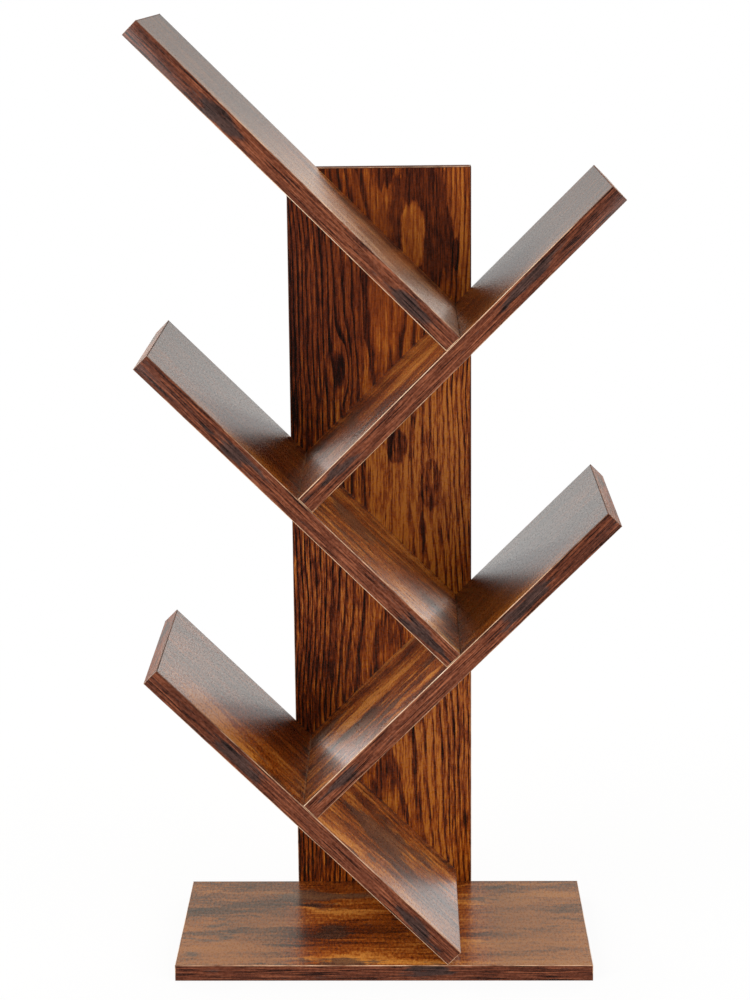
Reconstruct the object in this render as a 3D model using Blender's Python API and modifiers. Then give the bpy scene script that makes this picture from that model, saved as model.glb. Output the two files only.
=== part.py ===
"""Tree bookshelf of faced particle board.

Five equal boards climb in a zigzag. Each one leans, alternately to the left and to the right, and stands
square on the middle of the board below. One narrow upright board behind them carries them all, together
with the flat base board. Every edge is covered by a thin glued band.

Metres, +Z up. The front faces -Y, and the origin is on the floor at the middle of the footprint.
"""

import math

import bmesh
import bpy
from mathutils import Matrix, Vector

# Boards, with their edge bands
BASE_WIDTH = 0.400
BASE_THICKNESS = 0.016
BOARD_DEPTH = 0.200  # front to rear, base and shelves alike
SHELF_COUNT = 5
SHELF_LENGTH = 0.400
SHELF_THICKNESS = 0.018
SHELF_LEAN = math.radians(45.0)
JOINT_DISTANCE = 0.201  # up a shelf, from its lower end to the middle of the joint it carries
BACK_WIDTH = 0.180
BACK_THICKNESS = 0.016
BACK_ABOVE_SCREWS = 0.030  # the back board runs on past the highest screw

# Edge bands
BAND_THICKNESS = 0.0010
BAND_CHAMFER = 0.0004

# Countersunk socket screws
SCREW_LENGTH = 0.050
SCREW_DIAMETER = 0.007
SCREW_POINT = 0.005  # length of the tapered end
SCREW_POINT_DIAMETER = 0.003
HEAD_DIAMETER = 0.010
HEAD_RIM = 0.0008
HEAD_HEIGHT = 0.0040
HEAD_SINK = 0.0004  # the head ends this far below the face it is sunk in
SOCKET_FLATS = 0.004
SOCKET_DEPTH = 0.0028
SCREW_SIDES = 12

# Dowels
DOWEL_LENGTH = 0.030
DOWEL_DIAMETER = 0.008
DOWEL_CHAMFER = 0.001
DOWEL_IN_FACE = 0.012  # depth of the dowel in the lower board
DOWEL_SIDES = 12

# Places of the fixings
SHELF_SCREW_SPACING = 0.120  # along the shelf, about the middle of the back board
BASE_SCREW_SPACING = 0.100
JOINT_SCREW_INSET = 0.055  # from the front and rear edges of a shelf

# Clearance between faces that touch, and round the fixings in their holes
SEAT = 0.0003

# Worked-out sizes and places
TOTAL_DEPTH = BOARD_DEPTH + SEAT + BACK_THICKNESS
FRONT = -TOTAL_DEPTH / 2
BOARD_MIDDLE = FRONT + BOARD_DEPTH / 2
BACK_REACH = BOARD_DEPTH / 2 + SEAT + BACK_THICKNESS  # from the boards' middle to the rear face
JOINT_SCREW_SPACING = BOARD_DEPTH - 2 * JOINT_SCREW_INSET
RISE_LEFT = Vector((-math.cos(SHELF_LEAN), 0.0, math.sin(SHELF_LEAN)))
RISE_RIGHT = Vector((math.sin(SHELF_LEAN), 0.0, math.cos(SHELF_LEAN)))

MERGE_DISTANCE = 0.00001
SHARP_ANGLE = math.radians(40.0)


def clear_scene():
    for old in list(bpy.data.objects):
        bpy.data.objects.remove(old, do_unlink=True)


def new_collection(name):
    group = bpy.data.collections.new(name)
    bpy.context.scene.collection.children.link(group)
    return group


def new_material(name, colour, roughness, metallic=0.0):
    material = bpy.data.materials.new(name)
    material.use_nodes = True
    shader = material.node_tree.nodes["Principled BSDF"]
    shader.inputs["Base Color"].default_value = (*colour, 1.0)
    shader.inputs["Roughness"].default_value = roughness
    shader.inputs["Metallic"].default_value = metallic
    return material


clear_scene()
PARTS = new_collection("tree_bookshelf")
CUTTERS = new_collection("tree_bookshelf_cutters")
FACED_BOARD = new_material("faced_board", (0.125, 0.052, 0.021), 0.42)
EDGE_BAND = new_material("edge_band", (0.140, 0.060, 0.035), 0.50)
ZINC_STEEL = new_material("zinc_steel", (0.600, 0.600, 0.580), 0.35, 1.0)
BEECH = new_material("beech", (0.550, 0.380, 0.220), 0.60)


def add_frame(name, place, turn=0.0):
    """An empty that carries pieces: its X axis turns up from level by the angle turn, about Y."""
    frame = bpy.data.objects.new(name, None)
    frame.location = place
    frame.rotation_euler = (0.0, -turn, 0.0)
    PARTS.objects.link(frame)
    return frame


def add_piece(name, mesh, material, parent, place=(0.0, 0.0, 0.0)):
    piece = bpy.data.objects.new(name, mesh)
    piece.location = place
    piece.parent = parent
    mesh.materials.clear()
    mesh.materials.append(material)
    PARTS.objects.link(piece)
    return piece


def box_mesh(name, size, chamfered=()):
    """A box about its middle. chamfered holds the axis and side of a face that loses its long edges."""
    shape = bmesh.new()
    bmesh.ops.create_cube(shape, size=1.0, matrix=Matrix.Diagonal((*size, 1.0)))
    if chamfered:
        axis, side = chamfered
        outer = side * size[axis] / 2
        long_axis = max(range(3), key=lambda i: size[i])
        edges = []
        for edge in shape.edges:
            first, second = (vertex.co for vertex in edge.verts)
            on_face = abs(first[axis] - outer) + abs(second[axis] - outer) < BAND_CHAMFER / 10
            if on_face and abs(first[long_axis] - second[long_axis]) > size[long_axis] / 2:
                edges.append(edge)
        bmesh.ops.bevel(shape, geom=edges, offset=BAND_CHAMFER, segments=1, affect="EDGES")
    mesh = bpy.data.meshes.new(name)
    shape.to_mesh(mesh)
    shape.free()
    return mesh


def add_box(name, low, high, material, parent, chamfered=()):
    mesh = box_mesh(name, high - low, chamfered)
    return add_piece(name, mesh, material, parent, (low + high) / 2)


def add_board(name, low, high, banded, parent):
    """A board between two corners: a panel, and a band on each side in banded, the outermost first."""
    low = Vector(low)
    high = Vector(high)
    pieces = {}
    for label, letter, side in banded:
        axis = "xyz".index(letter)
        band_low = low.copy()
        band_high = high.copy()
        if side > 0:
            band_low[axis] = high[axis] - BAND_THICKNESS
            high[axis] = band_low[axis] - SEAT
        else:
            band_high[axis] = low[axis] + BAND_THICKNESS
            low[axis] = band_high[axis] + SEAT
        band_name = f"{name}_{label}_band"
        pieces[label] = add_box(band_name, band_low, band_high, EDGE_BAND, parent, (axis, side))
    pieces["panel"] = add_box(f"{name}_panel", low, high, FACED_BOARD, parent)
    return pieces


def turned_object(name, profile, sides):
    """A profile of (radius, height) points, top to bottom, turned about Z."""
    mesh = bpy.data.meshes.new(name)
    points = [(radius, 0.0, height) for radius, height in profile]
    mesh.from_pydata(points, [(i, i + 1) for i in range(len(points) - 1)], [])
    turned = bpy.data.objects.new(name, mesh)
    CUTTERS.objects.link(turned)
    turn = turned.modifiers.new("turn", "SCREW")
    turn.axis = "Z"
    turn.steps = sides
    turn.render_steps = sides
    turn.use_merge_vertices = True
    turn.merge_threshold = MERGE_DISTANCE
    return turned


def finished_mesh(source, name):
    """The mesh of an object after its modifiers, shaded smooth. The object itself is removed."""
    graph = bpy.context.evaluated_depsgraph_get()
    mesh = bpy.data.meshes.new_from_object(source.evaluated_get(graph))
    mesh.name = name
    mesh.shade_smooth()
    mesh.set_sharp_from_angle(angle=SHARP_ANGLE)
    bpy.data.objects.remove(source, do_unlink=True)
    return mesh


def screw_profile(gap):
    """The screw's outline, or with a gap the outline of its hole, from the face it is sunk in."""
    top = SEAT if gap else -HEAD_SINK
    return [
        (0.0, top),
        (HEAD_DIAMETER / 2 + gap, top),
        (HEAD_DIAMETER / 2 + gap, -HEAD_SINK - HEAD_RIM),
        (SCREW_DIAMETER / 2 + gap, -HEAD_SINK - HEAD_HEIGHT),
        (SCREW_DIAMETER / 2 + gap, -SCREW_LENGTH + SCREW_POINT),
        (SCREW_POINT_DIAMETER / 2 + gap, -SCREW_LENGTH - gap),
        (0.0, -SCREW_LENGTH - gap),
    ]


def dowel_profile(gap):
    top = DOWEL_IN_FACE + gap
    bottom = DOWEL_IN_FACE - DOWEL_LENGTH - gap
    radius = DOWEL_DIAMETER / 2 + gap
    return [
        (0.0, top),
        (radius - DOWEL_CHAMFER, top),
        (radius, top - DOWEL_CHAMFER),
        (radius, bottom + DOWEL_CHAMFER),
        (radius - DOWEL_CHAMFER, bottom),
        (0.0, bottom),
    ]


def screw_mesh():
    """A turned screw with its hexagon socket sunk in the head."""
    shape = bmesh.new()
    corner_radius = SOCKET_FLATS / math.sqrt(3.0)
    bmesh.ops.create_cone(shape, cap_ends=True, segments=6, radius1=corner_radius, radius2=corner_radius,
                          depth=2 * SOCKET_DEPTH, matrix=Matrix.Translation((0.0, 0.0, -HEAD_SINK)))
    mesh = bpy.data.meshes.new("socket")
    shape.to_mesh(mesh)
    shape.free()
    socket = bpy.data.objects.new("socket", mesh)
    CUTTERS.objects.link(socket)
    screw = turned_object("screw", screw_profile(0.0), SCREW_SIDES)
    recess = screw.modifiers.new("socket", "BOOLEAN")
    recess.operation = "DIFFERENCE"
    recess.solver = "EXACT"
    recess.object = socket
    finished = finished_mesh(screw, "screw")
    bpy.data.objects.remove(socket, do_unlink=True)
    return finished


def turned_mesh(name, profile, sides):
    return finished_mesh(turned_object(name, profile, sides), name)


SCREW = screw_mesh()
SCREW_HOLE = turned_mesh("screw_hole", screw_profile(SEAT), SCREW_SIDES)
DOWEL = turned_mesh("dowel", dowel_profile(0.0), DOWEL_SIDES)
DOWEL_HOLE = turned_mesh("dowel_hole", dowel_profile(SEAT), DOWEL_SIDES)


def drill(piece, hole):
    """Adds a hole to the ones that are cut from a piece, all by one Boolean modifier."""
    cut = piece.modifiers.get("holes")
    if not cut:
        holes = bpy.data.collections.new(piece.name + "_holes")
        CUTTERS.children.link(holes)
        cut = piece.modifiers.new("holes", "BOOLEAN")
        cut.operation = "DIFFERENCE"
        cut.solver = "EXACT"
        cut.operand_type = "COLLECTION"
        cut.collection = holes
    cut.collection.objects.link(hole)


def add_fixing(name, meshes, material, parent, place, turn, through):
    """A fixing, and its hole in each piece of the list through."""
    fixing_mesh, hole_mesh = meshes
    fixing = add_piece(name, fixing_mesh, material, parent, place)
    fixing.rotation_euler = turn
    hole = bpy.data.objects.new(name + "_hole", hole_mesh)
    hole.location = place
    hole.rotation_euler = turn
    hole.parent = parent
    hole.hide_render = True
    hole.display_type = "WIRE"
    for piece in through:
        drill(piece, hole)


def add_screw_pair(name, parent, middle, step, turn, through):
    """Two screws a step apart, about the middle."""
    for number, share in ((1, -0.5), (2, 0.5)):
        place = Vector(middle) + Vector(step) * share
        add_fixing(f"{name}_{number}", (SCREW, SCREW_HOLE), ZINC_STEEL, parent, place, turn, through)


INTO_BOARD_FROM_REAR = (-math.pi / 2, 0.0, 0.0)
INTO_SHELF_END = (0.0, -math.pi / 2, 0.0)


def shelf_places():
    """The middle of each shelf's lower end, and its direction, from the base upwards."""
    place = Vector((0.0, BOARD_MIDDLE, 0.0))
    place.z = BASE_THICKNESS + SEAT + SHELF_THICKNESS / 2 * RISE_RIGHT.z
    places = []
    for index in range(SHELF_COUNT):
        along, normal = (RISE_LEFT, RISE_RIGHT) if index % 2 == 0 else (RISE_RIGHT, RISE_LEFT)
        places.append((place, along))
        place = place + along * JOINT_DISTANCE + normal * (SHELF_THICKNESS / 2 + SEAT)
    offsets = [place.x for place, along in places]
    middle = (min(offsets) + max(offsets)) / 2
    return [(place - Vector((middle, 0.0, 0.0)), along) for place, along in places]


def add_base():
    frame = add_frame("base_frame", (0.0, BOARD_MIDDLE, BASE_THICKNESS / 2))
    low = (-BASE_WIDTH / 2, -BOARD_DEPTH / 2, -BASE_THICKNESS / 2)
    high = (BASE_WIDTH / 2, BOARD_DEPTH / 2, BASE_THICKNESS / 2)
    sides = [("front", "y", -1), ("rear", "y", 1), ("left", "x", -1), ("right", "x", 1)]
    return frame, add_board("base", low, high, sides, frame)


def add_shelf(number, place, along):
    frame = add_frame(f"shelf_{number}_frame", place, math.atan2(along.z, along.x))
    low = (0.0, -BOARD_DEPTH / 2, -SHELF_THICKNESS / 2)
    high = (SHELF_LENGTH, BOARD_DEPTH / 2, SHELF_THICKNESS / 2)
    sides = [("front", "y", -1), ("rear", "y", 1), ("lower_end", "x", -1), ("upper_end", "x", 1)]
    return frame, add_board(f"shelf_{number}", low, high, sides, frame)


def add_back(height):
    frame = add_frame("back_frame", (0.0, FRONT + BOARD_DEPTH + SEAT, 0.0))
    low = (-BACK_WIDTH / 2, 0.0, 0.0)
    high = (BACK_WIDTH / 2, BACK_THICKNESS, height)
    sides = [("left", "x", -1), ("right", "x", 1), ("top", "z", 1)]
    return add_board("back", low, high, sides, frame)


def screw_base_to_back(frame, base, back):
    add_screw_pair("base_back_screw", frame, (0.0, BACK_REACH, 0.0), (BASE_SCREW_SPACING, 0.0, 0.0),
                   INTO_BOARD_FROM_REAR, (back["panel"], base["rear"], base["panel"]))


def screw_shelf_to_back(number, frame, crossing, shelf, back):
    """crossing is the distance up the shelf where it passes the middle of the back board."""
    add_screw_pair(f"shelf_{number}_back_screw", frame, (crossing, BACK_REACH, 0.0),
                   (SHELF_SCREW_SPACING, 0.0, 0.0), INTO_BOARD_FROM_REAR,
                   (back["panel"], shelf["rear"], shelf["panel"]))


def join_shelves(number, lower, upper_frame, upper):
    """Two screws from beneath the lower shelf into the end of the upper one, and a dowel between."""
    through = (lower["panel"], upper["lower_end"], upper["panel"])
    joint = f"joint_{number}_{number + 1}"
    add_screw_pair(joint + "_screw", upper_frame, (-SEAT - SHELF_THICKNESS, 0.0, 0.0),
                   (0.0, JOINT_SCREW_SPACING, 0.0), INTO_SHELF_END, through)
    add_fixing(joint + "_dowel", (DOWEL, DOWEL_HOLE), BEECH, upper_frame,
               (-SEAT, 0.0, 0.0), INTO_SHELF_END, through)


def build():
    places = shelf_places()
    crossings = [-place.x / along.x for place, along in places]
    top_place, top_along = places[-1]
    top_screw = top_place.z + (crossings[-1] + SHELF_SCREW_SPACING / 2) * top_along.z
    back = add_back(top_screw + BACK_ABOVE_SCREWS)

    base_frame, base = add_base()
    screw_base_to_back(base_frame, base, back)

    lower = None
    for index, (place, along) in enumerate(places):
        number = index + 1
        frame, shelf = add_shelf(number, place, along)
        screw_shelf_to_back(number, frame, crossings[index], shelf, back)
        if lower:
            join_shelves(index, lower, frame, shelf)
        lower = shelf


build()
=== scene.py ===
"""Tree bookshelf of faced particle board, dressed for its picture.

The boards, edge bands and screws of the CAD frame are modelled again with their glue lines, trimmed
edges and drilled holes, and faced with a printed rustic wood. Metres, +Z up, the front faces -Y.
"""

import math

import bmesh
import bpy
from mathutils import Euler, Matrix, Vector


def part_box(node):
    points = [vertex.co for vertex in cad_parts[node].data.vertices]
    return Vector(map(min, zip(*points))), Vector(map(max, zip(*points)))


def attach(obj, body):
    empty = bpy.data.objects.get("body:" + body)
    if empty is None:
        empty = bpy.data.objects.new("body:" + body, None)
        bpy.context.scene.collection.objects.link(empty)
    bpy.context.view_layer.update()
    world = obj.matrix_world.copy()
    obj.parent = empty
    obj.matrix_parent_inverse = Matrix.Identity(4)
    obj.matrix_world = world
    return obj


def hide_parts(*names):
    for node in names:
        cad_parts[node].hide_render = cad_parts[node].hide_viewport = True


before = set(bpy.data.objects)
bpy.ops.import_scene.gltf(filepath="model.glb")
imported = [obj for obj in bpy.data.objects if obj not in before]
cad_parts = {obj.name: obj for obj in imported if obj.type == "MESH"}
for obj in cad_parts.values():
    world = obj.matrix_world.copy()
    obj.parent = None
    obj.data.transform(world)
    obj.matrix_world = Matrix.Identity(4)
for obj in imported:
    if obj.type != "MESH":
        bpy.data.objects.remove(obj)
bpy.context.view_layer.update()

# Sizes of the boards, as in the CAD frame
BASE_WIDTH = 0.400
BASE_THICKNESS = 0.016
BOARD_DEPTH = 0.200
SHELF_COUNT = 5
SHELF_LENGTH = 0.400
SHELF_THICKNESS = 0.018
SHELF_LEAN = math.radians(45.0)
JOINT_DISTANCE = 0.201
BACK_WIDTH = 0.180
BACK_THICKNESS = 0.016
BAND_THICKNESS = 0.0010
SEAT = 0.0003

# Sizes of the fixings
SCREW_LENGTH = 0.050
SCREW_DIAMETER = 0.007
SCREW_POINT = 0.005
SCREW_POINT_DIAMETER = 0.003
HEAD_DIAMETER = 0.010
HEAD_RIM = 0.0008
HEAD_HEIGHT = 0.0040
HEAD_SINK = 0.0004
SOCKET_FLATS = 0.004
SOCKET_DEPTH = 0.0028
SHELF_SCREW_SPACING = 0.120
BASE_SCREW_SPACING = 0.100
JOINT_SCREW_INSET = 0.055
DOWEL_LENGTH = 0.030
DOWEL_DIAMETER = 0.008
DOWEL_IN_FACE = 0.012

# Sizes that only the dressed model has
TRIM = 0.0006  # width of the trimmed arris round a band
PANEL_ARRIS = 0.00015
ROUND_SIDES = 32
SMOOTH_ANGLE = math.radians(35.0)
SOCKET_ARRIS = 0.00025
TOUCHING = 0.00001

# The sheets of print: the base's, then each shelf's, and the borders between them that a finish asks for
SHEETS = (0.0, 10.0, 20.0, 30.0, 40.0, 50.0)
SHEET_BLEND = 1.0
SPOT_REACH = 3.0  # how far a spot in the print reaches among the sheets
BASE_ENDS = 5.0
FIRST_SHELF_ENDS = 15.0
FOURTH_SHELF_ENDS = 45.0

# Worked-out places
FRONT = -(BOARD_DEPTH + SEAT + BACK_THICKNESS) / 2
BOARD_MIDDLE = FRONT + BOARD_DEPTH / 2
BACK_REACH = BOARD_DEPTH / 2 + SEAT + BACK_THICKNESS
RISE_LEFT = Vector((-math.cos(SHELF_LEAN), 0.0, math.sin(SHELF_LEAN)))
RISE_RIGHT = Vector((math.sin(SHELF_LEAN), 0.0, math.cos(SHELF_LEAN)))


def paint(red, green, blue):
    """A colour as it reads on a screen, 0 to 255, turned into the light that a shader takes."""
    shares = (red / 255, green / 255, blue / 255)
    return [s / 12.92 if s <= 0.04045 else ((s + 0.055) / 1.055) ** 2.4 for s in shares] + [1.0]


# Shader maths

class Signal:
    """A shader socket that adds and multiplies like a number."""

    def __init__(self, finish, socket):
        self.finish = finish
        self.socket = socket

    def sum(self, operation, *terms):
        return self.finish.node("ShaderNodeMath", {"operation": operation}, dict(enumerate(terms)))

    def __add__(self, other):
        return self.sum("ADD", self, other)

    def __radd__(self, other):
        return self.sum("ADD", other, self)

    def __sub__(self, other):
        return self.sum("SUBTRACT", self, other)

    def __rsub__(self, other):
        return self.sum("SUBTRACT", other, self)

    def __mul__(self, other):
        return self.sum("MULTIPLY", self, other)

    def __rmul__(self, other):
        return self.sum("MULTIPLY", other, self)

    def __truediv__(self, other):
        return self.sum("DIVIDE", self, other)

    def fraction(self):
        return self.sum("FRACT", self)

    def exponent(self):
        return self.sum("EXPONENT", self)

    def most(self, other):
        return self.sum("MAXIMUM", self, other)


class Finish:
    """A tree of shader nodes in the making: a material's, or the world's."""

    def __init__(self, owner):
        owner.use_nodes = True
        self.owner = owner
        self.tree = owner.node_tree
        self.tree.nodes.clear()

    def node(self, kind, settings=None, inputs=None, output=0):
        made = self.tree.nodes.new(kind)
        for name, value in (settings or {}).items():
            if name == "stops":
                self.set_stops(made.color_ramp, value)
            else:
                setattr(made, name, value)
        for name, value in (inputs or {}).items():
            if isinstance(value, Signal):
                self.tree.links.new(value.socket, made.inputs[name])
            else:
                made.inputs[name].default_value = value
        if len(made.outputs) == 0:
            return None
        return Signal(self, made.outputs[output])

    @staticmethod
    def set_stops(ramp, stops):
        while len(ramp.elements) < len(stops):
            ramp.elements.new(1.0)
        for element, (position, colour) in zip(ramp.elements, stops):
            element.position = position
            element.color = colour

    def ramp(self, value, stops):
        return self.node("ShaderNodeValToRGB", {"stops": stops}, {"Fac": value})

    def mix(self, share, first, second):
        inputs = {"Factor": share, 6: first, 7: second}
        return self.node("ShaderNodeMix", {"data_type": "RGBA"}, inputs, 2)

    def rise(self, value, low, high):
        """0 below low, 1 above high, and smooth between. low may be the higher of the two."""
        settings = {"interpolation_type": "SMOOTHSTEP"}
        inputs = {"Value": value, "From Min": low, "From Max": high}
        if low < high:
            return self.node("ShaderNodeMapRange", settings, inputs)
        inputs.update({"From Min": high, "From Max": low, "To Min": 1.0, "To Max": 0.0})
        return self.node("ShaderNodeMapRange", settings, inputs)

    def parts(self, vector):
        """The three numbers of a vector."""
        outputs = self.node("ShaderNodeSeparateXYZ", None, {0: vector}).socket.node.outputs
        return [Signal(self, output) for output in outputs]

    def grain(self):
        """The place on a board along the grain and across it. The third part tells the boards apart."""
        place = self.node("ShaderNodeAttribute", {"attribute_name": "grain"}, None, 1)
        along, across, self.sheet = self.parts(place)
        return along, across

    def past_sheet(self, border):
        """1 on the boards whose sheet of print comes after the border, 0 on those before it."""
        return self.rise(self.sheet, border - SHEET_BLEND, border + SHEET_BLEND)

    def before_sheet(self, border):
        """1 on the boards whose sheet of print comes before the border, 0 on those after it."""
        return self.rise(self.sheet, border + SHEET_BLEND, border - SHEET_BLEND)

    def noise(self, along, across, detail=2.0, roughness=0.5, seed=0.0):
        """Streaky noise about 0.5, from places already multiplied by their pitch."""
        point = self.node("ShaderNodeCombineXYZ", None, {0: along, 1: across, 2: self.sheet + seed})
        inputs = {"Vector": point, "Scale": 1.0, "Detail": detail, "Roughness": roughness}
        return self.node("ShaderNodeTexNoise", None, inputs)

    def bump(self, height, strength, distance):
        inputs = {"Height": height, "Strength": strength, "Distance": distance}
        return self.node("ShaderNodeBump", None, inputs)

    def surface(self, **inputs):
        sockets = {name.replace("_", " "): value for name, value in inputs.items()}
        shader = self.node("ShaderNodeBsdfPrincipled", None, sockets)
        self.node("ShaderNodeOutputMaterial", None, {"Surface": shader})
        return self.owner


def new_finish(name):
    return Finish(bpy.data.materials.new(name))


def hump(along, across, place, reach):
    """A smooth hill, 1 at its place and gone a little beyond its reach."""
    first = (along - place[0]) / reach[0]
    second = (across - place[1]) / reach[1]
    return (0.0 - (first * first + second * second)).exponent()


# The finishes

BOARD_IOR = 1.50
BOARD_ROUGHNESS = 0.28
BAND_IOR = 1.45
BAND_LACQUER = 0.6
END_LACQUER = 0.0
END_IOR = 1.18
END_ROUGHNESS = 0.45
LACQUER_ROUGHNESS = 0.21
PEBBLE_STRENGTH = 0.10
PEBBLE_HEIGHT = 0.0004
RING_SPREAD = 0.045
RING_PITCH = 0.008
HEART_ACROSS = 0.006  # where the rings of the back board's figure are centred
HEART_HEIGHT = 0.40
TRIM_IOR = 1.4


def faced_surface(finish, colour, pebble):
    """Printed paper under a thin clear lacquer, with the fine pebble of the press."""
    roughness = BOARD_ROUGHNESS + 0.12 * (pebble - 0.5)
    normal = finish.bump(pebble, PEBBLE_STRENGTH, PEBBLE_HEIGHT)
    lacquer = 0.40 + 0.60 * finish.rise(pebble, 0.36, 0.64)
    return finish.surface(Base_Color=colour, Roughness=roughness, Normal=normal, IOR=BOARD_IOR,
                          Coat_Weight=lacquer, Coat_Roughness=LACQUER_ROUGHNESS)


def blot(finish, along, across, place, reach, ragged):
    """A patch with a ragged edge: 1 inside, 0 outside."""
    first = (along - place[0]) / reach[0]
    second = (across - place[1]) / reach[1]
    return finish.rise(first * first + second * second + ragged, 1.15, 0.80)


def back_board_finish():
    """Flat-sawn figure: tight stripes at the sides, broad tongues and arches in the middle."""
    finish = new_finish("printed_wood_back")
    along, across = finish.grain()
    sway = finish.noise(along * 4.0, across * 6.0, 2.0, 0.5, 1.0) - 0.5
    ripple = finish.noise(along * 9.0, across * 60.0, 3.0, 0.6, 2.0) - 0.5
    fray = finish.noise(along * 30.0, across * 300.0, 2.0, 0.6, 14.0) - 0.5
    side = across - HEART_ACROSS + 0.030 * sway
    level = along - HEART_HEIGHT
    age = side * side / (2 * RING_SPREAD) - 0.14 * level * level
    upper = finish.rise(along, 0.50, 0.60)
    age = age + 0.0055 * (1.0 + 0.8 * upper) * ripple + 0.0018 * fray
    age = age + 0.014 * hump(along, across, (0.560, -0.036), (0.034, 0.008))
    phase = (age / RING_PITCH).fraction()
    late = finish.rise(phase, 0.46, 0.80) * finish.rise(phase, 1.0, 0.92)
    depth = finish.noise(along * 6.0, across * 70.0, 2.0, 0.5, 3.0)
    line = finish.noise(along * 5.0, across * 230.0, 3.0, 0.65, 13.0) - 0.5
    fibre = finish.noise(along * 30.0, across * 520.0, 2.0, 0.6, 6.0) - 0.5
    fleck = finish.noise(along * 90.0, across * 560.0, 2.0, 0.6, 7.0) - 0.5
    cloud = finish.noise(along * 7.0, across * 30.0, 4.0, 0.6, 8.0) - 0.5
    pore = finish.rise(finish.noise(along * 24.0, across * 420.0, 2.0, 0.6, 15.0), 0.56, 0.66)
    glint = finish.rise(finish.noise(along * 14.0, across * 260.0, 3.0, 0.6, 16.0), 0.55, 0.68)
    calm = hump(along, across, (0.43, 0.03), (0.10, 0.05))
    ring = late * (0.20 + 0.46 * depth) * (1.0 - 0.15 * upper - 0.40 * calm)
    tone = 0.63 - ring + 0.65 * cloud + 0.80 * line
    tone = tone + 0.26 * finish.rise(across, -0.055, 0.010) - 0.15 * upper
    tone = tone - 0.50 * hump(along, across, (0.083, 0.084), (0.008, 0.003))
    ragged = 2.0 * (finish.noise(along * 30.0, across * 110.0, 4.0, 0.65, 9.0) - 0.5)
    for place, reach in (((0.480, 0.015), (0.018, 0.011)), ((0.440, 0.050), (0.026, 0.010)),
                         ((0.385, 0.041), (0.030, 0.003)), ((0.672, 0.075), (0.016, 0.004))):
        tone = tone - 0.34 * blot(finish, along, across, place, reach, ragged)
    stain = blot(finish, along, across, (0.700, 0.040), (0.080, 0.030), ragged)
    island = blot(finish, along, across, (0.690, 0.033), (0.034, 0.012), ragged)
    tone = tone * (1 - stain) + stain * (0.38 + 0.40 * island + 0.5 * line)
    grit = 1.70 * fibre + 1.10 * fleck - 0.20 * pore + 0.16 * glint
    tone = tone + grit * (1.0 - 0.45 * upper)
    tone = tone - 0.16 * finish.rise(across, -0.072, -0.090) - 0.06 * finish.rise(along, 0.34, 0.22)
    colour = finish.ramp(tone, [
        (0.00, paint(22, 5, 1)),
        (0.28, paint(68, 21, 3)),
        (0.52, paint(124, 50, 5)),
        (0.76, paint(172, 83, 12)),
        (1.00, paint(214, 128, 38)),
    ])
    pebble = finish.noise(along * 330.0, across * 260.0, 2.0, 0.6, 4.0)
    return faced_surface(finish, colour, pebble)


# Spots in the shelf print: sheet, along, across, reach along, reach across, strength
SMOKE = (
    (50.0, 0.130, 0.050, 0.035, 0.030, 0.20),
    (40.0, 0.015, 0.060, 0.030, 0.030, 0.20),
    (40.0, 0.068, 0.020, 0.012, 0.035, 0.24),
    (30.0, 0.145, 0.008, 0.040, 0.022, 0.22),
    (20.0, 0.015, 0.070, 0.030, 0.022, 0.20),
    (20.0, 0.075, -0.030, 0.035, 0.028, 0.20),
    (10.0, 0.110, 0.000, 0.045, 0.030, 0.28),
    (10.0, 0.120, -0.070, 0.006, 0.007, 0.30),
    (0.0, -0.055, -0.030, 0.030, 0.022, 0.16),
    (0.0, -0.060, 0.070, 0.060, 0.020, 0.14),
)
TINTS = (
    (50.0, 0.300, 0.000, 0.120, 0.100, 0.25),
    (40.0, 0.150, -0.030, 0.045, 0.030, 0.20),
    (40.0, 0.150, 0.030, 0.030, 0.050, 0.28),
    (40.0, 0.300, 0.000, 0.110, 0.120, -0.15),
    (30.0, 0.050, -0.075, 0.040, 0.020, 0.28),
    (30.0, 0.340, 0.000, 0.080, 0.080, 0.15),
    (20.0, 0.115, 0.018, 0.050, 0.018, 0.28),
    (20.0, 0.100, -0.011, 0.035, 0.005, -0.50),
    (20.0, 0.140, -0.085, 0.050, 0.012, 0.14),
    (20.0, 0.290, 0.020, 0.110, 0.120, -0.40),
    (10.0, 0.035, 0.058, 0.045, 0.020, 0.28),
    (10.0, 0.075, 0.024, 0.034, 0.004, 0.60),
    (10.0, 0.140, -0.075, 0.060, 0.020, 0.28),
    (10.0, 0.330, -0.060, 0.060, 0.050, 0.35),
    (0.0, -0.040, 0.025, 0.050, 0.012, 0.28),
    (0.0, -0.040, -0.020, 0.050, 0.030, -0.14),
    (0.0, -0.150, 0.060, 0.060, 0.030, -0.25),
    (0.0, -0.020, -0.085, 0.060, 0.014, 0.28),
    (0.0, -0.150, -0.070, 0.050, 0.020, 0.28),
)


def soft_spots(finish, along, across, spots):
    """The sum of soft spots, each with a fading edge."""
    total = 0.0
    for sheet, middle_along, middle_across, reach_along, reach_across, strength in spots:
        first = (along - middle_along) / reach_along
        second = (across - middle_across) / reach_across
        third = (finish.sheet - sheet) / SPOT_REACH
        total = total + strength * (0.0 - (first * first + second * second + third * third)).exponent()
    return total


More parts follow.
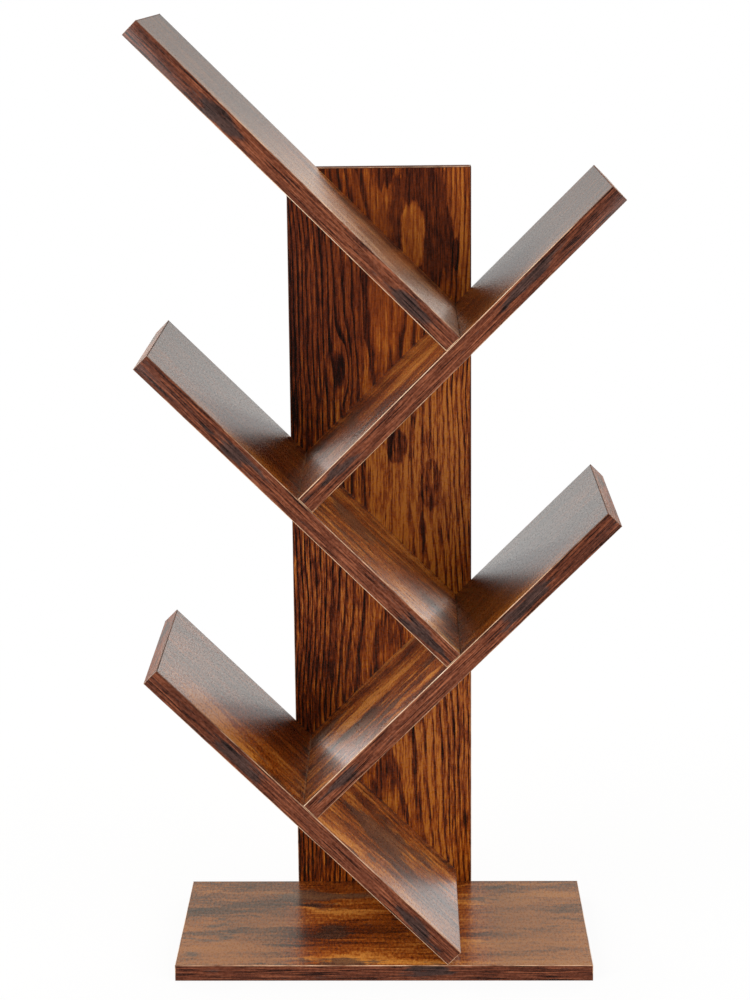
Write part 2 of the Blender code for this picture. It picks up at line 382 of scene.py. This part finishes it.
def shelf_finish():
    """Soft smears of amber and brown along the board, with smoky patches and thin wisps."""
    finish = new_finish("printed_wood_shelf")
    along, across = finish.grain()
    shelf = finish.past_sheet(BASE_ENDS)
    run = along * (0.50 + 0.30 * shelf)
    drift = finish.noise(along * 11.0, across * 22.0, 3.0, 0.6, 5.0) - 0.5
    bent = across + 0.036 * drift
    smear = finish.noise(run * 8.0, bent * 25.0, 3.0, 0.6, 1.0) - 0.5
    streak = finish.noise(run * 9.0, bent * 100.0, 3.0, 0.65, 2.0) - 0.5
    line = finish.noise(run * 24.0, across * 170.0, 3.0, 0.7, 3.0) - 0.5
    speckle = finish.noise(along * 420.0, across * 150.0, 1.0, 0.5, 8.0) - 0.5
    fine = finish.noise(run * 60.0, across * 460.0, 2.0, 0.6, 6.0) - 0.5
    smoke = finish.noise(along * 9.0, bent * 27.0, 7.0, 0.66, 4.0)
    smoke = smoke + soft_spots(finish, along, across, SMOKE)
    wisp = finish.rise(finish.noise(along * 9.0, bent * 75.0, 3.0, 0.6, 7.0), 0.60, 0.64)
    score = finish.rise(finish.noise(along * 13.0, bent * 85.0, 3.0, 0.6, 9.0), 0.60, 0.64)
    wide = finish.before_sheet(FIRST_SHELF_ENDS)
    reach = along + 0.15 * smear - 0.09 * wide * finish.rise(across, 0.00, -0.06)
    outer = shelf * finish.rise(reach, 0.18, 0.28)
    strip = finish.rise(across + 0.06 * smear - 0.030 * wide, -0.066, -0.092)
    strip = strip * finish.rise(along, 0.42, 0.32)
    low_end = wide * shelf * hump(along, across, (0.03, -0.05), (0.09, 0.08))
    busy = (0.55 + 0.45 * shelf) * (1.0 - 0.5 * low_end) * (1.0 - 0.35 * outer)
    tone = 0.54 - 0.04 * shelf + 1.9 * smear + busy * (1.1 * streak + 0.34 * wisp - 0.36 * score)
    tone = tone + soft_spots(finish, along, across, TINTS)
    tone = tone * (1.0 - outer) + outer * (0.10 + 0.50 * tone + 0.45 * strip)
    tone = tone + busy * (1.5 * line + 1.1 * fine) + 0.8 * speckle
    colour = finish.ramp(tone, [
        (0.00, paint(32, 10, 2)),
        (0.30, paint(90, 34, 5)),
        (0.62, paint(160, 78, 14)),
        (1.00, paint(222, 146, 62)),
    ])
    sides = (1.0 - shelf) * (finish.rise(along, -0.07, -0.11) + finish.rise(along, 0.08, 0.12))
    dull = finish.ramp(tone + 0.25 * sides * finish.rise(across, 0.08, 0.02), [
        (0.00, paint(36, 18, 7)),
        (0.45, paint(88, 50, 16)),
        (0.90, paint(150, 92, 36)),
    ])
    dulled = 0.8 * outer * (1.0 - 0.5 * wide) + 0.8 * (sides + low_end)
    colour = finish.mix(dulled, colour, dull)
    veil = finish.ramp(tone, [(0.1, paint(26, 18, 14)), (0.9, paint(96, 72, 58))])
    veiled = 0.85 * finish.rise(smoke, 0.58, 0.64) * (1.0 - 0.7 * outer)
    colour = finish.mix(veiled, colour, veil)
    # Painted sheen: the lower inner end of the top shelf is painted paler, standing in for the sheen of
    # light from above.
    top_shelf = finish.past_sheet(FOURTH_SHELF_ENDS)
    painted_sheen = finish.ramp(tone, [(0.2, paint(164, 108, 70)), (0.9, paint(240, 196, 152))])
    painted_sheen_share = 0.75 * top_shelf * hump(along, across, (0.08, -0.06), (0.13, 0.10))
    colour = finish.mix(painted_sheen_share, colour, painted_sheen)
    pebble = finish.noise(along * 520.0, across * 220.0, 2.0, 0.6, 10.0)
    return faced_surface(finish, colour, pebble)


def band_finish(name, lacquer, roughness, ior):
    """Reddish brown edging with fine dark lines along it and dark patches."""
    finish = new_finish(name)
    along, across = finish.grain()
    line = finish.noise(along * 14.0, across * 560.0, 3.0, 0.7, 1.0) - 0.5
    fine = finish.noise(along * 26.0, across * 860.0, 2.0, 0.6, 5.0) - 0.5
    speckle = finish.noise(along * 260.0, across * 420.0, 2.0, 0.6, 2.0) - 0.5
    score = finish.rise(finish.noise(along * 22.0, across * 520.0, 2.0, 0.6, 4.0), 0.55, 0.63)
    patch = finish.noise(along * 22.0, across * 130.0, 3.0, 0.6, 3.0)
    foot = hump(along, across, (0.045, 0.002), (0.034, 0.007))
    middle = hump(along, across, (0.285, 0.001), (0.042, 0.007))
    tone = 0.54 + line + 1.7 * fine + 0.5 * speckle - 0.34 * score
    tone = tone - 0.16 * finish.rise(along, 0.24, 0.38) - 0.08 * finish.before_sheet(BASE_ENDS)
    colour = finish.ramp(tone, [
        (0.05, paint(38, 15, 9)),
        (0.50, paint(105, 52, 31)),
        (0.95, paint(166, 96, 62)),
    ])
    dark = finish.rise(patch + 0.30 * (foot + middle), 0.62, 0.74)
    shade = finish.ramp(tone, [(0.1, paint(26, 19, 18)), (0.9, paint(82, 64, 60))])
    colour = finish.mix(0.85 * dark, colour, shade)
    normal = finish.bump(line * 0.5 + speckle * 0.3 - score * 0.3, 0.30, 0.0002)
    return finish.surface(Base_Color=colour, Roughness=roughness + 0.3 * speckle, Normal=normal,
                          IOR=ior, Coat_Weight=lacquer, Coat_Roughness=LACQUER_ROUGHNESS)


def trim_finish(name, stops):
    """The bare plastic where a band was trimmed flush. It is browner at the far ends and on the base, and
    darker on the lower edges as painted shade.
    """
    finish = new_finish(name)
    along, across = finish.grain()
    wear = finish.noise(along * 45.0, across * 200.0, 3.0, 0.6, 1.0)
    fade_and_painted_shade = 0.40 * finish.rise(along, 0.26, 0.40) + 0.22 * finish.before_sheet(BASE_ENDS)
    # Painted shade: the lower trimmed edges are made darker.
    fade_and_painted_shade = fade_and_painted_shade + 0.25 * finish.rise(across, 0.000, -0.006)
    colour = finish.ramp(wear - fade_and_painted_shade, stops)
    return finish.surface(Base_Color=colour, Roughness=0.35 + 0.2 * wear, IOR=TRIM_IOR)


def zinc_finish():
    finish = new_finish("zinc_plated_steel")
    place = finish.node("ShaderNodeTexCoord", None, None, 3)
    cloud = finish.node("ShaderNodeTexNoise", None, {"Vector": place, "Scale": 900.0, "Detail": 3.0})
    colour = finish.ramp(cloud, [(0.3, paint(186, 186, 180)), (0.7, paint(214, 213, 206))])
    normal = finish.bump(cloud, 0.1, 0.0001)
    return finish.surface(Base_Color=colour, Metallic=1.0, Roughness=0.26 + 0.2 * cloud, Normal=normal)


def beech_finish():
    finish = new_finish("beech_dowel")
    place = finish.node("ShaderNodeTexCoord", None, None, 3)
    fleck = finish.node("ShaderNodeTexNoise", None, {"Vector": place, "Scale": 700.0, "Detail": 3.0})
    colour = finish.ramp(fleck, [(0.3, paint(190, 150, 108)), (0.7, paint(216, 182, 140))])
    normal = finish.bump(fleck, 0.2, 0.0002)
    return finish.surface(Base_Color=colour, Roughness=0.55 + 0.2 * fleck, Normal=normal)


BACK_BOARD = back_board_finish()
SHELF_BOARD = shelf_finish()
BAND = band_finish("printed_edge_band", BAND_LACQUER, BOARD_ROUGHNESS, BAND_IOR)
END_BAND = band_finish("printed_end_band", END_LACQUER, END_ROUGHNESS, END_IOR)
BAND_TRIM = trim_finish("trimmed_band_edge", [
    (0.10, paint(112, 70, 46)),
    (0.35, paint(212, 168, 132)),
    (0.55, paint(236, 200, 164)),
    (0.75, paint(250, 224, 198)),
])
STAINED_TRIM = trim_finish("stained_band_edge", [(0.30, paint(84, 48, 30)), (0.70, paint(132, 84, 58))])
ZINC = zinc_finish()
BEECH = beech_finish()


# Modelling by hand

def deselect():
    bpy.ops.object.select_all(action="DESELECT")


def make_active(*pieces):
    deselect()
    for piece in pieces:
        piece.select_set(True)
    bpy.context.view_layer.objects.active = pieces[0]


def start_block(name, low, high):
    """A block between two corners, left in edit mode with nothing selected."""
    deselect()
    size = high - low
    bpy.ops.mesh.primitive_cube_add(size=1.0, location=(low + high) / 2, scale=size)
    block = bpy.context.active_object
    block.name = name
    block.data.name = name
    bpy.ops.object.transform_apply(location=True, rotation=True, scale=True)
    bpy.ops.object.mode_set(mode="EDIT")
    bpy.ops.mesh.select_all(action="DESELECT")
    return block


def select_edges(piece, wanted):
    """Selects the edges for which wanted says yes to both ends."""
    bpy.ops.mesh.select_mode(type="EDGE")
    mesh = bmesh.from_edit_mesh(piece.data)
    for edge in mesh.edges:
        edge.select = all(wanted(corner.co) for corner in edge.verts)
    mesh.select_flush_mode()
    bmesh.update_edit_mesh(piece.data)


def place_piece(piece, place):
    """Leaves edit mode and puts the piece where its board is, with the place in its mesh."""
    if piece.mode == "EDIT":
        bpy.ops.object.mode_set(mode="OBJECT")
    make_active(piece)
    piece.matrix_world = place
    bpy.ops.object.transform_apply(location=True, rotation=True, scale=True)


def make_panel(name, low, high, place):
    panel = start_block(name, low, high)
    select_edges(panel, lambda corner: True)
    bpy.ops.mesh.bevel(offset=PANEL_ARRIS, segments=1, affect="EDGES")
    place_piece(panel, place)
    return panel


def make_band(name, low, high, axis, side, place, face, trim):
    """A strip whose outer face has its four edges trimmed at a slant."""
    band = start_block(name, low, high)
    outer = high[axis] if side > 0 else low[axis]
    band.data.materials.append(face)
    band.data.materials.append(trim)
    select_edges(band, lambda corner: abs(corner[axis] - outer) < TRIM / 10)
    bpy.ops.mesh.bevel(offset=TRIM, segments=2, affect="EDGES", material=1)
    place_piece(band, place)
    return band


def turned_piece(name, rings):
    """A round piece about Z, pulled down ring by ring from (radius, height) pairs, top first."""
    deselect()
    (radius, top), (_, second) = rings[:2]
    bpy.ops.mesh.primitive_cylinder_add(vertices=ROUND_SIDES, radius=radius, depth=top - second,
                                        location=(0.0, 0.0, (top + second) / 2))
    piece = bpy.context.active_object
    piece.name = name
    bpy.ops.object.transform_apply(location=True, rotation=True, scale=True)
    bpy.ops.object.mode_set(mode="EDIT")
    bpy.ops.mesh.select_all(action="DESELECT")
    bpy.ops.mesh.select_mode(type="FACE")
    mesh = bmesh.from_edit_mesh(piece.data)
    for face in mesh.faces:
        face.select = face.normal.z < -0.9
    mesh.select_flush_mode()
    bmesh.update_edit_mesh(piece.data)
    level = second
    for next_radius, height in rings[2:]:
        bpy.ops.mesh.extrude_region_move(TRANSFORM_OT_translate={"value": (0.0, 0.0, height - level)})
        share = next_radius / radius
        bpy.ops.transform.resize(value=(share, share, 1.0), center_override=(0.0, 0.0, height))
        radius = next_radius
        level = height
    bpy.ops.object.mode_set(mode="OBJECT")
    return piece


def screw_rings(gap):
    """The screw's outline, or with a gap the outline of its hole, from the face it is sunk in."""
    top = SEAT if gap else -HEAD_SINK
    return [
        (HEAD_DIAMETER / 2 + gap, top),
        (HEAD_DIAMETER / 2 + gap, -HEAD_SINK - HEAD_RIM),
        (SCREW_DIAMETER / 2 + gap, -HEAD_SINK - HEAD_HEIGHT),
        (SCREW_DIAMETER / 2 + gap, -SCREW_LENGTH + SCREW_POINT),
        (SCREW_POINT_DIAMETER / 2 + gap, -SCREW_LENGTH - gap),
    ]


def dowel_hole_rings():
    radius = DOWEL_DIAMETER / 2 + SEAT
    return [(radius, DOWEL_IN_FACE + SEAT), (radius, DOWEL_IN_FACE - DOWEL_LENGTH - SEAT)]


def cut_away(piece, tool):
    """Takes the tool's shape out of the piece. The tool is removed."""
    make_active(piece)
    cut = piece.modifiers.new("cut", "BOOLEAN")
    cut.operation = "DIFFERENCE"
    cut.solver = "EXACT"
    cut.object = tool
    bpy.ops.object.modifier_apply(modifier=cut.name)
    make_active(tool)
    bpy.ops.object.delete()


def make_screw():
    screw = turned_piece("screw", screw_rings(0.0))
    deselect()
    bpy.ops.mesh.primitive_cylinder_add(vertices=6, radius=SOCKET_FLATS / math.sqrt(3.0),
                                        depth=2 * SOCKET_DEPTH, location=(0.0, 0.0, -HEAD_SINK))
    cut_away(screw, bpy.context.active_object)
    make_active(screw)
    bpy.ops.object.mode_set(mode="EDIT")
    select_edges(screw, lambda corner: abs(corner.z + HEAD_SINK) < TOUCHING)
    bpy.ops.mesh.bevel(offset=SOCKET_ARRIS, segments=2, affect="EDGES")
    bpy.ops.object.mode_set(mode="OBJECT")
    screw.data.materials.clear()
    screw.data.materials.append(ZINC)
    return screw


def copy_of(source, name, place):
    make_active(source)
    bpy.ops.object.duplicate(linked=False)
    copy = bpy.context.active_object
    copy.name = name
    copy.data.name = name
    place_piece(copy, place)
    return copy


def remove(piece):
    make_active(piece)
    bpy.ops.object.delete()


SCREW = make_screw()
SCREW_HOLE = turned_piece("screw_hole", screw_rings(SEAT))
DOWEL_HOLE = turned_piece("dowel_hole", dowel_hole_rings())


# The boards and their fixings

HIGH_ENDS = ("upper_end", "top")


class Board:
    """A panel and its bands, in the board's own axes, and the holes that are cut from them."""

    def __init__(self, name, low, high, banded, place, faced, sheet):
        self.name = name
        self.place = place
        self.pieces = {}
        self.holes = {}
        self.sheet = sheet
        low = Vector(low)
        high = Vector(high)
        for label, letter, side in banded:
            axis = "xyz".index(letter)
            band_low = low.copy()
            band_high = high.copy()
            if side > 0:
                band_low[axis] = high[axis] - BAND_THICKNESS
                high[axis] = band_low[axis]
            else:
                band_high[axis] = low[axis] + BAND_THICKNESS
                low[axis] = band_high[axis]
            part = f"{label}_band"
            face = END_BAND if label in HIGH_ENDS else BAND
            trim = STAINED_TRIM if label == "upper_end" else BAND_TRIM
            self.pieces[part] = make_band(f"{name}_{part}_finished", band_low, band_high, axis, side, place,
                                          face, trim)
        self.pieces["panel"] = make_panel(f"{name}_panel_finished", low, high, place)
        self.pieces["panel"].data.materials.append(faced)

    def drill(self, part, hole, place):
        """Marks a hole to be cut, by a copy of the hole's tool at its place."""
        self.holes.setdefault(part, []).append(copy_of(hole, "hole", place))

    def finish(self, grain_axes):
        for part, piece in self.pieces.items():
            tools = self.holes.get(part)
            if tools:
                make_active(*tools)
                if len(tools) > 1:
                    bpy.ops.object.join()
                cut_away(piece, tools[0])
            make_active(piece)
            bpy.ops.object.shade_smooth_by_angle(angle=SMOOTH_ANGLE)
            self.lay_grain(piece, grain_axes[part])
            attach(piece, "root")
            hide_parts(f"{self.name}_{part}")

    def lay_grain(self, piece, letters):
        """Writes where each corner lies along and across the grain, and which sheet of print it has."""
        back = self.place.inverted()
        axes = ["xyz".index(letter) for letter in letters]
        values = []
        for corner in piece.data.vertices:
            own = back @ corner.co
            values.extend((own[axes[0]], own[axes[1]], self.sheet))
        grain = piece.data.attributes.new("grain", "FLOAT_VECTOR", "POINT")
        grain.data.foreach_set("vector", values)


def add_screw(name, place, through):
    """A screw in its place, and its hole in each (board, part) of the list through."""
    for board, part in through:
        board.drill(part, SCREW_HOLE, place)
    screw = copy_of(SCREW, f"{name}_finished", place)
    make_active(screw)
    bpy.ops.object.shade_smooth_by_angle(angle=SMOOTH_ANGLE)
    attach(screw, "root")
    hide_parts(name)


def add_screw_pair(name, place, middle, step, turn, through):
    for number, share in ((1, -0.5), (2, 0.5)):
        own = Matrix.Translation(Vector(middle) + Vector(step) * share) @ turn
        add_screw(f"{name}_{number}", place @ own, through)


INTO_BOARD_FROM_REAR = Matrix.Rotation(-math.pi / 2, 4, "X")
INTO_SHELF_END = Matrix.Rotation(-math.pi / 2, 4, "Y")


def shelf_places():
    """The middle of each shelf's lower end, and its direction, from the base upwards."""
    place = Vector((0.0, BOARD_MIDDLE, 0.0))
    place.z = BASE_THICKNESS + SEAT + SHELF_THICKNESS / 2 * RISE_RIGHT.z
    places = []
    for index in range(SHELF_COUNT):
        along, normal = (RISE_LEFT, RISE_RIGHT) if index % 2 == 0 else (RISE_RIGHT, RISE_LEFT)
        places.append((place, along))
        place = place + along * JOINT_DISTANCE + normal * (SHELF_THICKNESS / 2 + SEAT)
    offsets = [place.x for place, along in places]
    middle = (min(offsets) + max(offsets)) / 2
    return [(place - Vector((middle, 0.0, 0.0)), along) for place, along in places]


LEVEL_SIDES = [("front", "y", -1), ("rear", "y", 1), ("left", "x", -1), ("right", "x", 1)]
SHELF_SIDES = [("front", "y", -1), ("rear", "y", 1), ("lower_end", "x", -1), ("upper_end", "x", 1)]
BACK_SIDES = [("left", "x", -1), ("right", "x", 1), ("top", "z", 1)]
LEVEL_GRAIN = {"panel": "xy", "front_band": "xz", "rear_band": "xz", "left_band": "yz", "right_band": "yz"}
SHELF_GRAIN = {"panel": "xy", "front_band": "xz", "rear_band": "xz", "lower_end_band": "yz",
               "upper_end_band": "yz"}
BACK_GRAIN = {"panel": "zx", "left_band": "zy", "right_band": "zy", "top_band": "xy"}


def build_bookshelf():
    places = shelf_places()
    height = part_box("back_top_band")[1].z
    back = Board("back", (-BACK_WIDTH / 2, 0.0, 0.0), (BACK_WIDTH / 2, BACK_THICKNESS, height), BACK_SIDES,
                 Matrix.Translation((0.0, FRONT + BOARD_DEPTH + SEAT, 0.0)), BACK_BOARD, 0.0)
    base_place = Matrix.Translation((0.0, BOARD_MIDDLE, BASE_THICKNESS / 2))
    base = Board("base", (-BASE_WIDTH / 2, -BOARD_DEPTH / 2, -BASE_THICKNESS / 2),
                 (BASE_WIDTH / 2, BOARD_DEPTH / 2, BASE_THICKNESS / 2), LEVEL_SIDES, base_place,
                 SHELF_BOARD, SHEETS[0])
    add_screw_pair("base_back_screw", base_place, (0.0, BACK_REACH, 0.0), (BASE_SCREW_SPACING, 0.0, 0.0),
                   INTO_BOARD_FROM_REAR, ((back, "panel"), (base, "rear_band"), (base, "panel")))
    shelves = []
    for index, (place, along) in enumerate(places):
        number = index + 1
        turn = Matrix.Rotation(-math.atan2(along.z, along.x), 4, "Y")
        own = Matrix.Translation(place) @ turn
        shelf = Board(f"shelf_{number}", (0.0, -BOARD_DEPTH / 2, -SHELF_THICKNESS / 2),
                      (SHELF_LENGTH, BOARD_DEPTH / 2, SHELF_THICKNESS / 2), SHELF_SIDES, own,
                      SHELF_BOARD, SHEETS[number])
        crossing = -place.x / along.x
        add_screw_pair(f"shelf_{number}_back_screw", own, (crossing, BACK_REACH, 0.0),
                       (SHELF_SCREW_SPACING, 0.0, 0.0), INTO_BOARD_FROM_REAR,
                       ((back, "panel"), (shelf, "rear_band"), (shelf, "panel")))
        if shelves:
            through = ((shelves[-1], "panel"), (shelf, "lower_end_band"), (shelf, "panel"))
            joint = f"joint_{index}_{number}"
            add_screw_pair(joint + "_screw", own, (-SEAT - SHELF_THICKNESS, 0.0, 0.0),
                           (0.0, BOARD_DEPTH - 2 * JOINT_SCREW_INSET, 0.0), INTO_SHELF_END, through)
            dowel_place = own @ Matrix.Translation((-SEAT, 0.0, 0.0)) @ INTO_SHELF_END
            for board, part in through:
                board.drill(part, DOWEL_HOLE, dowel_place)
            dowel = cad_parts[joint + "_dowel"]
            dowel.data.materials.clear()
            dowel.data.materials.append(BEECH)
        shelves.append(shelf)
    back.finish(BACK_GRAIN)
    base.finish(LEVEL_GRAIN)
    for shelf in shelves:
        shelf.finish(SHELF_GRAIN)


build_bookshelf()
for tool in (SCREW, SCREW_HOLE, DOWEL_HOLE):
    remove(tool)


# The studio

WHITE = (1.0, 1.0, 1.0, 1.0)
WARM_WHITE = (1.0, 0.93, 0.80, 1.0)
FLOOR_RADIUS = 2.5
FLOOR_SIDES = 96
SHADOW_FADES = 0.35
SHADOW_ENDS = 1.1
WORLD_LIGHT = 0.42
FLOOR_GLOW = 0.92
FRONT_GLOSS = 0.03
BACK_GLOSS = 1.0


def background_rays(finish):
    """1 for the rays that show the background itself: the camera's, then those in gloss and glass."""
    rays = finish.node("ShaderNodeLightPath").socket.node.outputs
    camera, glossy, clear = (Signal(finish, rays[f"Is {kind} Ray"]) for kind in
                             ("Camera", "Glossy", "Transmission"))
    return camera, glossy.most(clear)


def make_floor():
    """A round sheet of white paper. It keeps the shadow close to the object and runs out to plain white."""
    deselect()
    bpy.ops.mesh.primitive_circle_add(vertices=FLOOR_SIDES, radius=FLOOR_RADIUS, fill_type="NGON")
    floor = bpy.context.active_object
    floor.name = "studio_floor"
    finish = new_finish("white_paper")
    place = finish.node("ShaderNodeTexCoord", None, None, 3)
    tooth = finish.node("ShaderNodeTexNoise", None, {"Vector": place, "Scale": 300.0, "Detail": 2.0})
    colour = finish.ramp(tooth, [(0.3, paint(244, 244, 244)), (0.7, paint(248, 248, 248))])
    paper = finish.node("ShaderNodeBsdfDiffuse", None, {"Color": colour})
    distance = finish.node("ShaderNodeVectorMath", {"operation": "LENGTH"}, {0: place}, 1)
    back = finish.parts(place)[1]
    camera, mirrored = background_rays(finish)
    behind = finish.rise(back, -0.2, 0.4)
    strength = camera + mirrored * (FRONT_GLOSS + (BACK_GLOSS - FRONT_GLOSS) * behind)
    open_floor = finish.rise(distance, SHADOW_FADES, SHADOW_ENDS)
    share = mirrored.most(camera * (FLOOR_GLOW + (1.0 - FLOOR_GLOW) * open_floor))
    glow = finish.node("ShaderNodeEmission", None, {"Color": WHITE, "Strength": strength})
    mixed = finish.node("ShaderNodeMixShader", None, {0: share, 1: paper, 2: glow})
    finish.node("ShaderNodeOutputMaterial", None, {"Surface": mixed})
    finish.owner.cycles.emission_sampling = "NONE"
    floor.data.materials.append(finish.owner)


def make_world():
    """White to the camera. In gloss it is white at the sides, greyer straight behind and dim in front."""
    world = bpy.data.worlds.new("studio")
    bpy.context.scene.world = world
    finish = Finish(world)
    direction = finish.node("ShaderNodeTexCoord")
    across, back, up = finish.parts(direction)
    behind = finish.rise(back, -0.3, 0.3)
    spot = hump(across, up, (0.0, 0.0), (0.24, 0.38))
    backdrop = (BACK_GLOSS - FRONT_GLOSS - 0.80 * spot) * (1.0 - 0.35 * finish.rise(up, 0.15, 0.45))
    corner = hump(across, up, (0.37, 0.09), (0.07, 0.07))
    backdrop = FRONT_GLOSS + behind * backdrop * (1.0 - 0.85 * corner)
    camera, mirrored = background_rays(finish)
    others = WORLD_LIGHT * (1.0 - mirrored) + backdrop * mirrored
    strength = camera + (1.0 - camera) * others
    warm = mirrored * finish.rise(up, 0.10, 0.40)
    colour = finish.mix(warm, WHITE, WARM_WHITE)
    sky = finish.node("ShaderNodeBackground", None, {"Color": colour, "Strength": strength})
    finish.node("ShaderNodeOutputWorld", None, {"Surface": sky})
    world.cycles.sampling_method = "NONE"


NEUTRAL = (1.0, 1.0, 1.0)
WARM = (1.0, 0.94, 0.84)
LAMP_AIM = Vector((0.0, 0.0, 0.45))

# The camera that was solved from the photo, with its turns in degrees
SENSOR_WIDTH = 36.0
LENS_LENGTH = 80.969
LENS_SHIFT = (0.0321, -0.0507)
CAMERA_PLACE = (0.02167, -2.09996, 0.96386)
CAMERA_TURNS = (77.4857, 0.7094, 1.4033)


def add_lamp(name, place, size, power, tint):
    lamp = bpy.data.lights.new(name, "AREA")
    lamp.shape = "SQUARE"
    lamp.size = size
    lamp.energy = power
    lamp.color = tint
    holder = bpy.data.objects.new(name, lamp)
    holder.location = place
    holder.rotation_euler = (LAMP_AIM - Vector(place)).to_track_quat("-Z", "Y").to_euler()
    bpy.context.scene.collection.objects.link(holder)


def make_camera():
    lens = bpy.data.cameras.new("photo_camera")
    lens.sensor_width = SENSOR_WIDTH
    lens.lens = LENS_LENGTH
    lens.shift_x, lens.shift_y = LENS_SHIFT
    camera = bpy.data.objects.new("photo_camera", lens)
    camera.location = CAMERA_PLACE
    camera.rotation_euler = Euler([math.radians(turn) for turn in CAMERA_TURNS])
    bpy.context.scene.collection.objects.link(camera)
    bpy.context.scene.camera = camera


make_floor()
make_world()
add_lamp("key_softbox", (-2.2, -1.8, 1.7), 2.8, 66.0, NEUTRAL)
add_lamp("fill_softbox", (2.3, -1.7, 1.5), 2.8, 50.0, NEUTRAL)
add_lamp("left_rim_softbox", (-1.5, 1.8, 1.2), 1.6, 27.0, WARM)
add_lamp("right_rim_softbox", (1.35, 1.9, 1.35), 1.5, 24.0, WARM)
make_camera()
bpy.context.scene.view_settings.view_transform = "Standard"
